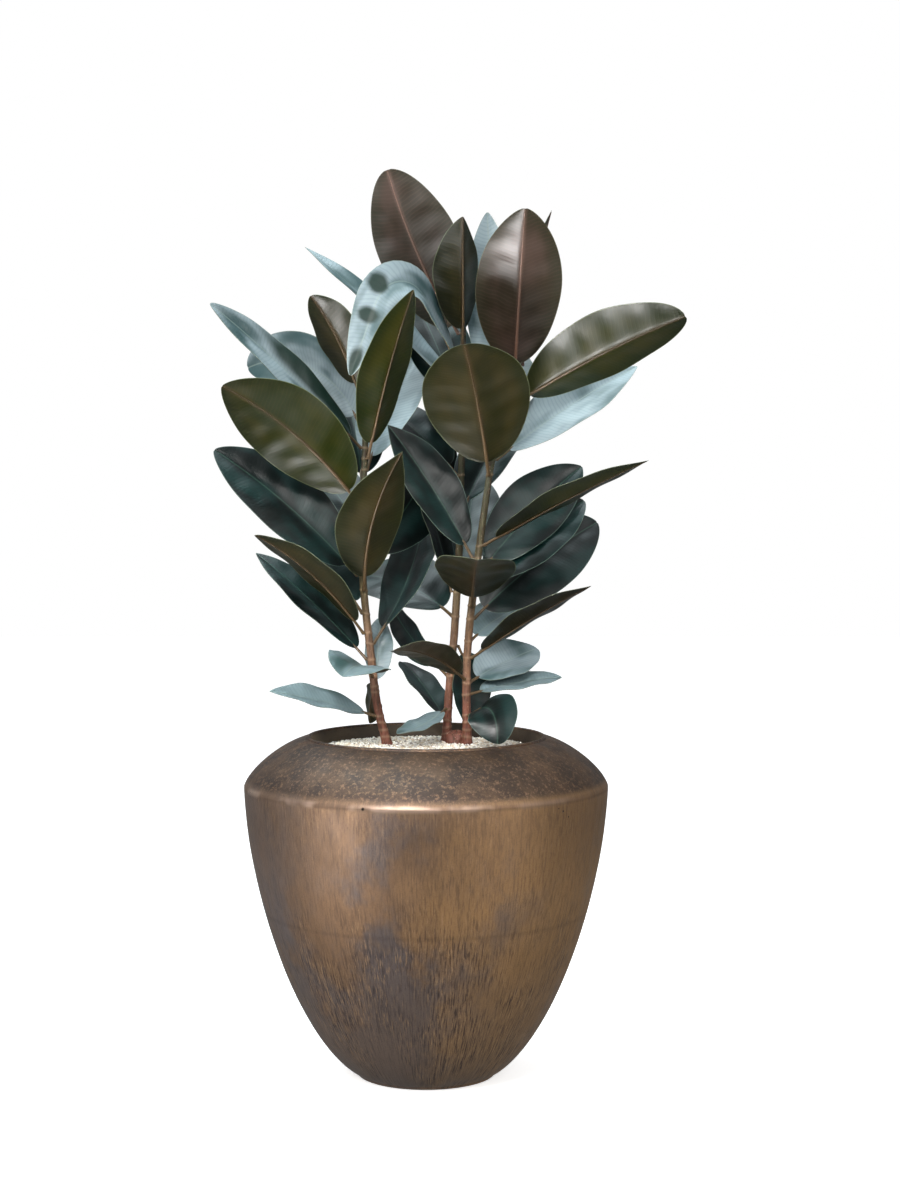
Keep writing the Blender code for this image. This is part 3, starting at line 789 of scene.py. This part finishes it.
def blade_points(leaf, rng):
    """Shares along the blade, and its half widths, columns, lift and thickness at each grid point."""
    turn = np.linspace(0, math.pi, BLADE_ROWS)
    share = BLADE_START + (BLADE_END - BLADE_START) * (0.5 - 0.5 * np.cos(turn)) ** 0.95
    half = np.maximum(blade_half_width(leaf, share)[:, None], LEAST_HALF_WIDTH)
    across = np.sin(np.linspace(-math.pi / 2, math.pi / 2, 2 * HALF_COLUMNS + 1))[None, :]
    away = np.abs(across)
    length = leaf.length - leaf.stalk
    distance = share[:, None] * length
    trough = np.sqrt(across**2 + FOLD_ROUNDNESS) - math.sqrt(FOLD_ROUNDNESS)
    lift = half * math.tan(math.radians(leaf.fold)) * trough
    lift += half * BLADE_BULGE * np.sin(math.pi * away) - half * RIM_DIP * away**3
    wave_start, wave_shift, ripple_start, ripple_shift = rng.uniform(0, math.tau, 4)
    right = across >= 0
    sides = np.where(right, -1.0, 1.0)
    fullness = np.clip(half / (leaf.width / 2), 0, 1)
    wave_place = math.tau * distance / (WAVE_SHARE * length) + wave_start
    lift += WAVE_HEIGHT * np.sin(wave_place + 1.3 * sides + wave_shift * ~right) * away**2 * fullness
    ripple = np.sin(math.tau * distance / RIPPLE_LENGTH + ripple_start + ripple_shift * ~right - 2.2 * away)
    lift += RIPPLE_HEIGHT * ripple * np.sin(math.pi * away) ** 2 * fullness
    thickness = LEAF_THICKNESS + (RIM_THICKNESS - LEAF_THICKNESS) * away**2
    return share, half, across, lift, thickness * np.clip(fullness * 3, 0.4, 1)


def rib_rings(stem, leaf):
    """Rings of the stalk and the midrib, and how far each lies along the blade in metres."""
    stalk = leaf.stalk / leaf.length
    on_stalk = np.linspace(-stalk, 0, STALK_ROWS)
    share = np.concatenate([on_stalk, np.linspace(MIDRIB_START, MIDRIB_END, MIDRIB_ROWS)])
    on_blade = np.clip(share, 0, 1)
    places = np.where(share < 0, stalk + share, stalk + (1 - stalk) * on_blade)
    line, side, top = leaf_frames(stem, leaf, places)
    widest = RIB_RADIUS * (0.75 + leaf.width * RIB_WIDTH_GAIN)
    radius = RIB_TIP_RADIUS + (widest - RIB_TIP_RADIUS) * (1 - on_blade) ** 1.2
    swelling = np.exp(-np.clip(share / stalk + 1, 0, 1) / 0.2)
    radius = radius * (1 + STALK_SWELLING * swelling * (share < 0))
    merged = np.clip(share / RIB_MERGE_SHARE, 0, 1)
    flatten = 1 - RIB_FLATTENING * merged
    centre = line - top * (radius * RIB_SINK * merged)[:, None]
    root = stem_point(stem, leaf.height) - centre[0]
    root[2] = 0
    centre = np.vstack([centre[0] + root / np.linalg.norm(root) * STALK_SUNK, centre])
    side, top = np.vstack([side[:1], side]), np.vstack([top[:1], top])
    radius = np.concatenate([radius[:1] * 1.15, radius])
    flatten = np.concatenate([[1.0], flatten])
    turns = np.linspace(0, math.tau, RIB_SIDES, endpoint=False)
    rings = (
        centre[:, None]
        + side[:, None] * (radius[:, None] * np.cos(turns))[..., None]
        + top[:, None] * ((radius * flatten)[:, None] * np.sin(turns))[..., None]
    )
    along = np.where(share < 0, share / stalk * leaf.stalk, share * (leaf.length - leaf.stalk))
    return rings, np.concatenate([[-leaf.stalk], along])


def add_leaf(name, stem, leaf, materials, seed):
    """A blade with its rim, and under it the midrib that comes out of the stalk."""
    share, half, across, lift, thickness = blade_points(leaf, np.random.default_rng(seed))
    stalk = leaf.stalk / leaf.length
    line, side, top = leaf_frames(stem, leaf, stalk + (1 - stalk) * share)
    columns = 2 * HALF_COLUMNS + 1
    count = BLADE_ROWS * columns
    flat = line[:, None] + side[:, None] * (half * across)[..., None]
    upper = flat + top[:, None] * (lift + thickness / 2)[..., None]
    lower = flat + top[:, None] * (lift - thickness / 2)[..., None]
    over = grid_faces(BLADE_ROWS, columns)
    under = grid_faces(BLADE_ROWS, columns, count, flip=True)
    rim = []
    for row in range(BLADE_ROWS - 1):
        left, right = row * columns, row * columns + columns - 1
        rim.append((left, count + left, count + left + columns, left + columns))
        rim.append((right, right + columns, count + right + columns, count + right))
    for column in range(columns - 1):
        last = (BLADE_ROWS - 1) * columns + column
        rim.append((column, column + 1, count + column + 1, count + column))
        rim.append((last, count + last, count + last + 1, last + 1))
    rings, rib_along = rib_rings(stem, leaf)
    tube = tube_faces(len(rings), RIB_SIDES, 2 * count)
    kinds = [0] * len(over) + [1] * len(under) + [3] * len(rim) + [2] * len(tube)
    # How much painted dark reflection each point of the blade gets
    dark_reflection = np.zeros((BLADE_ROWS, columns))
    for reflection_share, reflection_across, share_reach, across_reach in DARK_REFLECTION_PLACES.get(name, ()):
        off = np.hypot((share[:, None] - reflection_share) / share_reach, (across - reflection_across) / across_reach)
        dark_reflection = np.maximum(dark_reflection, np.exp(-(off**2)))

    def everywhere(on_blade, on_rib):
        face = np.broadcast_to(on_blade, dark_reflection.shape).ravel()
        return np.concatenate([face, face, np.broadcast_to(on_rib, len(rings) * RIB_SIDES)])

    attributes = {
        "dark_reflection": everywhere(dark_reflection, 0),
        "sideways": everywhere(half * across, 0),
        "leaf": everywhere(seed * LEAF_SHIFT, seed * LEAF_SHIFT),
        "rib": everywhere(half * np.abs(across), 0),
        "edge": everywhere(half * (1 - np.abs(across)), STALK_EDGE),
        "along": everywhere(share[:, None] * (leaf.length - leaf.stalk), np.repeat(rib_along, RIB_SIDES)),
    }
    verts = np.vstack([points.reshape(-1, 3) for points in (upper, lower, rings)])
    faces = over + under + rim + tube
    add_piece("fine_" + name, verts, faces, materials, kinds, attributes, node=name, sharp=60)


def kind_of(kinds, stem, number, usual):
    """The kind that a leaf is listed under, or else the usual one."""
    return next((kind for kind, listed in kinds.items() if number in listed[stem]), usual)


def add_leaves():
    rim = rim_finish()
    ribs = {kind: rib_finish(kind) for kind in RIBS}
    tops = {kind: leaf_top(kind) for kind in TOPS}
    undersides = {kind: leaf_underside(kind) for kind in UNDERSIDES}
    seed = 0
    for stem, leaves in LEAVES.items():
        for number, leaf in enumerate(leaves, start=1):
            seed += 1
            top = tops[kind_of(TOP_KINDS, stem, number, "deep")]
            under = kind_of(UNDER_KINDS, stem, number, "olive")
            rib = ribs["brown" if under == "brown" else "olive"]
            add_leaf(f"leaf_{stem}_{number:02d}", stem, leaf, (top, undersides[under], rib, rim), seed)


def add_bark(stem, materials, seed):
    """The stem's bark with a scar ring at each leaf, and the bud at its tip."""
    rng = np.random.default_rng(seed)
    foot, tip = STEM_CURVES[stem][0, 2], STEM_CURVES[stem][-1, 2]
    turns = np.linspace(0, math.tau, BARK_SIDES, endpoint=False)
    scars = [leaf.height for leaf in LEAVES[stem]]
    scars += list(np.arange(foot + LOW_SCAR_FOOT_GAP, min(scars) - LOW_SCAR_LEAF_GAP, LOW_SCAR_STEP))
    tilts = rng.uniform(-SCAR_TILT, SCAR_TILT, (len(scars), 2))
    waves = rng.uniform(0, math.tau, 12)
    rings, scar_values, height_values = [], [], []
    for height in np.arange(foot - BARK_SUNK, tip, BARK_STEP):
        level = max(height, foot)
        centre = stem_point(stem, level)
        centre[2] = height
        ring_scar = np.zeros(BARK_SIDES)
        for scar, (tilt, lean) in zip(scars, tilts):
            off = height - scar - tilt * np.cos(turns) - lean * np.sin(turns)
            ring_scar = np.maximum(ring_scar, np.exp(-((off / SCAR_WIDTH) ** 2)))
        flare = ROOT_FLARE * math.exp(-(level - foot) / ROOT_FLARE_REACH)
        radii = stem_radius(stem, level) + flare - BARK_INSET + SCAR_HEIGHT * ring_scar
        radii += BARK_RIPPLES[0] * np.sin(3 * turns + 40 * height + waves[0])
        radii += BARK_RIPPLES[1] * np.sin(7 * turns - 90 * height + waves[1])
        rings.append(centre + turned(radii, turns, 0))
        scar_values.append(ring_scar * 0.5)
        height_values.append(np.full(BARK_SIDES, height))
    bark_faces = tube_faces(len(rings), BARK_SIDES, flip=True)
    bud_faces = tube_faces(BUD_ROWS, BARK_SIDES, len(rings) * BARK_SIDES, flip=True)

    lean = stem_point(stem, tip) - stem_point(stem, tip - 0.02)
    lean /= np.linalg.norm(lean)
    bud_share = np.linspace(0, 1, BUD_ROWS)
    bud_radius = STEM_TIP_RADIUS * np.cos(bud_share * math.pi / 2) ** 0.8
    bud_radius *= 1 + BUD_SWELLING * np.sin(bud_share * math.pi)
    bud_radius[-1] = BUD_TIP_RADIUS
    curl = rng.uniform(-BUD_CURL, BUD_CURL, 2)
    for share, radius in zip(bud_share, bud_radius):
        centre = stem_point(stem, tip) + lean * (share * BUD_LENGTH - BUD_SUNK)
        centre[:2] += curl * share**2
        rings.append(centre + turned(radius, turns, 0))
        scar_values.append(np.zeros(BARK_SIDES))
        height_values.append(np.full(BARK_SIDES, tip))
    kinds = [0] * len(bark_faces) + [1] * len(bud_faces)
    attributes = {"scar": np.concatenate(scar_values), "height": np.concatenate(height_values)}
    faces = bark_faces + bud_faces
    add_piece("bark_" + stem, np.vstack(rings), faces, materials, kinds, attributes, "stem_" + stem)


def rounded(share, roundness):
    """Height share of a superellipse's quarter at a radius share."""
    return (1 - share**roundness) ** (1 / roundness)


def wall_radius(height):
    """Outer radius of the belly below the shoulder."""
    upper, lower = WALL_ROUNDNESS
    below_shoulder = 1 - height / SHOULDER_HEIGHT
    swell = (1 - below_shoulder**upper) ** (1 / lower)
    return FOOT_RADIUS + (SHOULDER_RADIUS - FOOT_RADIUS) * swell


def pot_outline():
    """Outline from the middle of the underside, up the wall and over the mouth, to the collar's foot."""
    foot = wall_radius(FOOT_EDGE)
    points = [(0.0, 0.0), (foot * 0.5, 0.0), (foot * 0.82, 0.0)]
    for step in range(1, FOOT_ROWS + 1):
        turn = math.pi / 2 * step / FOOT_ROWS
        points.append((foot - FOOT_EDGE * (1 - math.sin(turn)), FOOT_EDGE * (1 - math.cos(turn))))
    for step in range(1, WALL_ROWS + 1):
        share = step / WALL_ROWS
        share -= 0.13 * math.sin(math.tau * share) / math.pi
        height = FOOT_EDGE + (SHOULDER_HEIGHT - FOOT_EDGE) * share
        points.append((wall_radius(height), height))
    lip_round = LIP_WIDTH / 2
    lip_base = POT_HEIGHT - lip_round
    span = SHOULDER_RADIUS - MOUTH_RADIUS - LIP_WIDTH
    for step in range(1, DOME_ROWS + 1):
        out = math.cos(math.pi / 2 * step / DOME_ROWS) ** (2 / DOME_ROUNDNESS) if step < DOME_ROWS else 0.0
        height = SHOULDER_HEIGHT + (lip_base - SHOULDER_HEIGHT) * rounded(out, DOME_ROUNDNESS)
        points.append((MOUTH_RADIUS + LIP_WIDTH + span * out, height))
    lip_middle = MOUTH_RADIUS + lip_round
    for step in range(1, LIP_ROWS + 1):
        turn = math.pi * step / LIP_ROWS
        points.append((lip_middle + lip_round * math.cos(turn), lip_base + lip_round * math.sin(turn)))
    drop = COLLAR_BOTTOM - COLLAR_SUNK - lip_base
    for step in range(1, COLLAR_ROWS + 1):
        points.append((MOUTH_RADIUS, lip_base + drop * step / COLLAR_ROWS))
    return points


def add_pot(outside, inside):
    """The pot turned finely, with the slight unevenness of a cast surface."""
    outline = np.array(pot_outline())
    turns = np.linspace(0, math.tau, POT_TURNS, endpoint=False)
    radius, height = outline[1:, 0][:, None], outline[1:, 1][:, None]
    sway = (
        np.sin(3 * turns + 9 * height) + 0.7 * np.sin(5 * turns - 17 * height + 1.1)
        + 0.5 * np.sin(11 * turns + 31 * height + 2.3) + 0.4 * np.sin(17 * turns - 55 * height + 0.4)
    )
    calm = np.clip(height / 0.03, 0, 1) * np.clip((SHOULDER_RADIUS + 0.0006 - radius) / 0.004 + 0.35, 0, 1)
    uneven = radius - POT_UNEVENNESS * (0.8 + sway / 2.6) * calm
    rings = turned(uneven, turns, height)
    rows = len(outline) - 1
    faces = grid_faces(rows, POT_TURNS, flip=True, closed=True)
    first_inside = (rows - COLLAR_ROWS - 1) * POT_TURNS
    kinds = [0] * first_inside + [1] * (len(faces) - first_inside) + [0] * POT_TURNS
    centre = rows * POT_TURNS
    faces += [(centre, (turn + 1) % POT_TURNS, turn) for turn in range(POT_TURNS)]
    verts = np.vstack([rings.reshape(-1, 3), [(0, 0, 0)]])
    add_piece("pot_body", verts, faces, (outside, inside), kinds, node="pot", sharp=60)


def mound_height(radius):
    """Top of the gravel at a distance from the pot's axis."""
    share = np.clip((MOUTH_RADIUS - radius) / (MOUTH_RADIUS - MOUND_RADIUS), 0, 1)
    return GRAVEL_EDGE_HEIGHT + (GRAVEL_TOP - GRAVEL_EDGE_HEIGHT) * share * share * (3 - 2 * share)


def add_gravel_bed(material):
    """A dimpled bed under the loose stones."""
    rng = np.random.default_rng(BED_SEED)
    turns = np.linspace(0, math.tau, BED_TURNS, endpoint=False)
    radii = np.linspace(0.0015, MOUTH_RADIUS - 0.0006, BED_RINGS)
    dimples = rng.uniform(-BED_UNEVENNESS, BED_UNEVENNESS, (BED_RINGS, BED_TURNS))
    heights = mound_height(radii)[:, None] - BED_DROP + dimples
    rings = turned(radii[:, None], turns, heights)
    faces = grid_faces(BED_RINGS, BED_TURNS, closed=True) + [tuple(range(BED_TURNS))]
    add_piece("gravel_bed", rings.reshape(-1, 3), faces, (material,), node="gravel")


def stone_shape():
    """Points and faces of a cube that is cut in two each way and blown up round."""
    bm = bmesh.new()
    bmesh.ops.create_cube(bm, size=2.0)
    bmesh.ops.subdivide_edges(bm, edges=bm.edges[:], cuts=1, use_grid_fill=True)
    verts = np.array([vert.co[:] for vert in bm.verts])
    faces = [tuple(vert.index for vert in face.verts) for face in bm.faces]
    bm.free()
    boxy = 0.7 + 0.3 * np.abs(verts).sum(1)[:, None] / 3
    return verts / np.linalg.norm(verts, axis=1)[:, None] * boxy, faces


def add_stones(materials):
    """Loose pebbles over the bed, each squashed and turned its own way."""
    rng = np.random.default_rng(STONE_SEED)
    shape, shape_faces = stone_shape()
    feet = [(stem_point(stem, STEM_FOOT)[:2], stem_radius(stem, STEM_FOOT)) for stem in LEAVES]
    verts, faces, kinds = [], [], []
    reach = MOUTH_RADIUS - STONE_WALL_GAP
    rows = int(reach / STONE_ROW_SPACING) + 1
    start = 0
    for row in range(-rows, rows + 1):
        for column in range(-rows, rows + 1):
            spot = np.array([(column + 0.5 * (row % 2)) * STONE_SPACING, row * STONE_ROW_SPACING])
            spot = spot + rng.uniform(-STONE_JITTER, STONE_JITTER, 2)
            size = rng.uniform(*STONE_RADII)
            distance = np.hypot(*spot)
            near_stem = any(np.hypot(*(spot - foot)) < radius + STONE_STEM_GAP for foot, radius in feet)
            if distance > reach - size or near_stem:
                continue
            squash = rng.uniform(*STONE_SQUASH)
            axes = np.linalg.qr(rng.normal(size=(3, 3)) * (1, 1, 0.6))[0]
            bumps = 1 + rng.uniform(-STONE_BUMPS, STONE_BUMPS, (len(shape), 1))
            stone = (shape * bumps * squash * size) @ axes.T
            lift = mound_height(distance) - stone[:, 2].max() + rng.uniform(*STONE_LIFT)
            verts.append(stone + [spot[0], spot[1], lift])
            faces += [tuple(start + index for index in face) for face in shape_faces]
            kinds += [int(rng.choice(len(materials), p=STONE_COLOUR_SHARES))] * len(shape_faces)
            start += len(shape)
    add_piece("gravel_stones", np.vstack(verts), faces, materials, kinds, sharp=70)


def add_root_crown(material):
    """The brown lump of old wood between two stems' feet."""
    rng = np.random.default_rng(LUMP_SEED)
    turns = np.linspace(0, math.tau, LUMP_SIDES, endpoint=False)
    rise = np.linspace(0, math.pi / 2 * 0.995, LUMP_ROWS)[:, None]
    lumps = 1 + 0.10 * np.sin(3 * turns + 4 * rise) + 0.07 * np.sin(7 * turns - 5 * rise + 1)
    lumps = lumps + rng.uniform(-LUMP_UNEVENNESS, LUMP_UNEVENNESS, (LUMP_ROWS, LUMP_SIDES))
    out = np.cos(rise) ** 0.7 * lumps
    x = LUMP_PLACE[0] + LUMP_REACH[0] * out * np.cos(turns)
    y = LUMP_PLACE[1] + LUMP_REACH[1] * out * np.sin(turns)
    z = GRAVEL_TOP - LUMP_SUNK + LUMP_HEIGHT * np.sin(rise) * (1 + 0.10 * np.cos(2 * turns))
    verts = np.stack([x, y, z], axis=2).reshape(-1, 3)
    attributes = {"scar": np.zeros(len(verts)), "height": np.full(len(verts), LUMP_TONE_HEIGHT)}
    faces = tube_faces(LUMP_ROWS, LUMP_SIDES, flip=True)
    add_piece("root_crown", verts, faces, (material,), None, attributes)


def dress_soil():
    """The soil node stays as it is, inside the pot, with its own finish."""
    finish = soil_finish()
    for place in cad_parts["soil"].material_slots:
        place.material = finish


def add_floor():
    """A white floor that the camera sees, and that throws no light back at the object."""
    look = Look("floor_pale")
    pale = look.mix(look.noise(3.0, 2.0), rgb(246, 246, 246), rgb(250, 250, 250))
    look.surface(base_color=pale, roughness=0.9, emission_color=(1, 1, 1), emission_strength=FLOOR_GLOW)
    mesh = bpy.data.meshes.new("floor")
    corners = [(x * FLOOR_REACH, y * FLOOR_REACH, 0) for x, y in ((-1, -1), (1, -1), (1, 1), (-1, 1))]
    mesh.from_pydata(corners, [], [(0, 1, 2, 3)])
    mesh.materials.append(look.material)
    floor = bpy.data.objects.new("floor", mesh)
    show(floor)
    floor.visible_diffuse = False
    floor.visible_glossy = False


def add_light(name, place, aim, size, power, colour, spread):
    """A soft panel of light that faces a point, itself unseen."""
    data = bpy.data.lights.new(name, "AREA")
    data.shape = "RECTANGLE"
    data.size, data.size_y = size
    data.energy = power
    data.color = colour
    data.spread = math.radians(spread)
    light = bpy.data.objects.new(name, data)
    light.visible_camera = False
    light.location = place
    towards = np.array(aim, float) - np.array(place, float)
    flat = math.hypot(towards[0], towards[1])
    light.rotation_euler = (math.atan2(flat, -towards[2]), 0, math.atan2(-towards[0], towards[1]))
    show(light)


def add_sun():
    """A very broad light from above, the same all over the floor, so that the floor stays white."""
    data = bpy.data.lights.new("sky_soft", "SUN")
    data.energy = SUN_STRENGTH
    data.angle = math.radians(SUN_SPREAD)
    sky = bpy.data.objects.new("sky_soft", data)
    sky.rotation_euler = (math.radians(SUN_TILT[0]), math.radians(SUN_TILT[1]), 0)
    show(sky)


def add_world():
    """White behind the object, and a dimmer, cooler light from round about."""
    world = bpy.data.worlds.new("studio")
    bpy.context.scene.world = world
    world.use_nodes = True
    tree = world.node_tree
    around = tree.nodes["Background"]
    behind = tree.nodes.new("ShaderNodeBackground")
    for shader, colour, strength in ((around, rgb(225, 232, 238), WORLD_STRENGTH), (behind, (1, 1, 1), 1)):
        shader.inputs["Color"].default_value = (*colour, 1)
        shader.inputs["Strength"].default_value = strength
    path = tree.nodes.new("ShaderNodeLightPath")
    either = tree.nodes.new("ShaderNodeMixShader")
    tree.links.new(path.outputs["Is Camera Ray"], either.inputs[0])
    tree.links.new(around.outputs[0], either.inputs[1])
    tree.links.new(behind.outputs[0], either.inputs[2])
    tree.links.new(either.outputs[0], tree.nodes["World Output"].inputs["Surface"])


def add_camera():
    data = bpy.data.cameras.new("camera")
    data.lens = CAMERA_LENS
    data.sensor_width = SENSOR
    camera = bpy.data.objects.new("camera", data)
    camera.location = CAMERA_PLACE
    camera.rotation_euler = (math.radians(90 - CAMERA_DOWN), 0, 0)
    show(camera)
    bpy.context.scene.camera = camera


add_camera()
add_world()
add_sun()
for light in LIGHTS:
    add_light(*light)
add_floor()
add_leaves()
bark = bark_finish()
bud = bud_finish()
for index, stem in enumerate(LEAVES):
    add_bark(stem, (bark, bud), BARK_SEED + index)
add_root_crown(bark)
add_pot(pot_finish(), pot_inside_finish())
add_gravel_bed(stone_finish("gravel_shade", rgb(176, 166, 150)))
add_stones((
    stone_finish("gravel_cream", rgb(240, 233, 220)),
    stone_finish("gravel_white", rgb(250, 247, 240)),
    stone_finish("gravel_tan", rgb(218, 202, 178)),
    stone_finish("gravel_grey", rgb(180, 172, 162)),
))
dress_soil()
bpy.context.scene.view_settings.view_transform = "Standard"
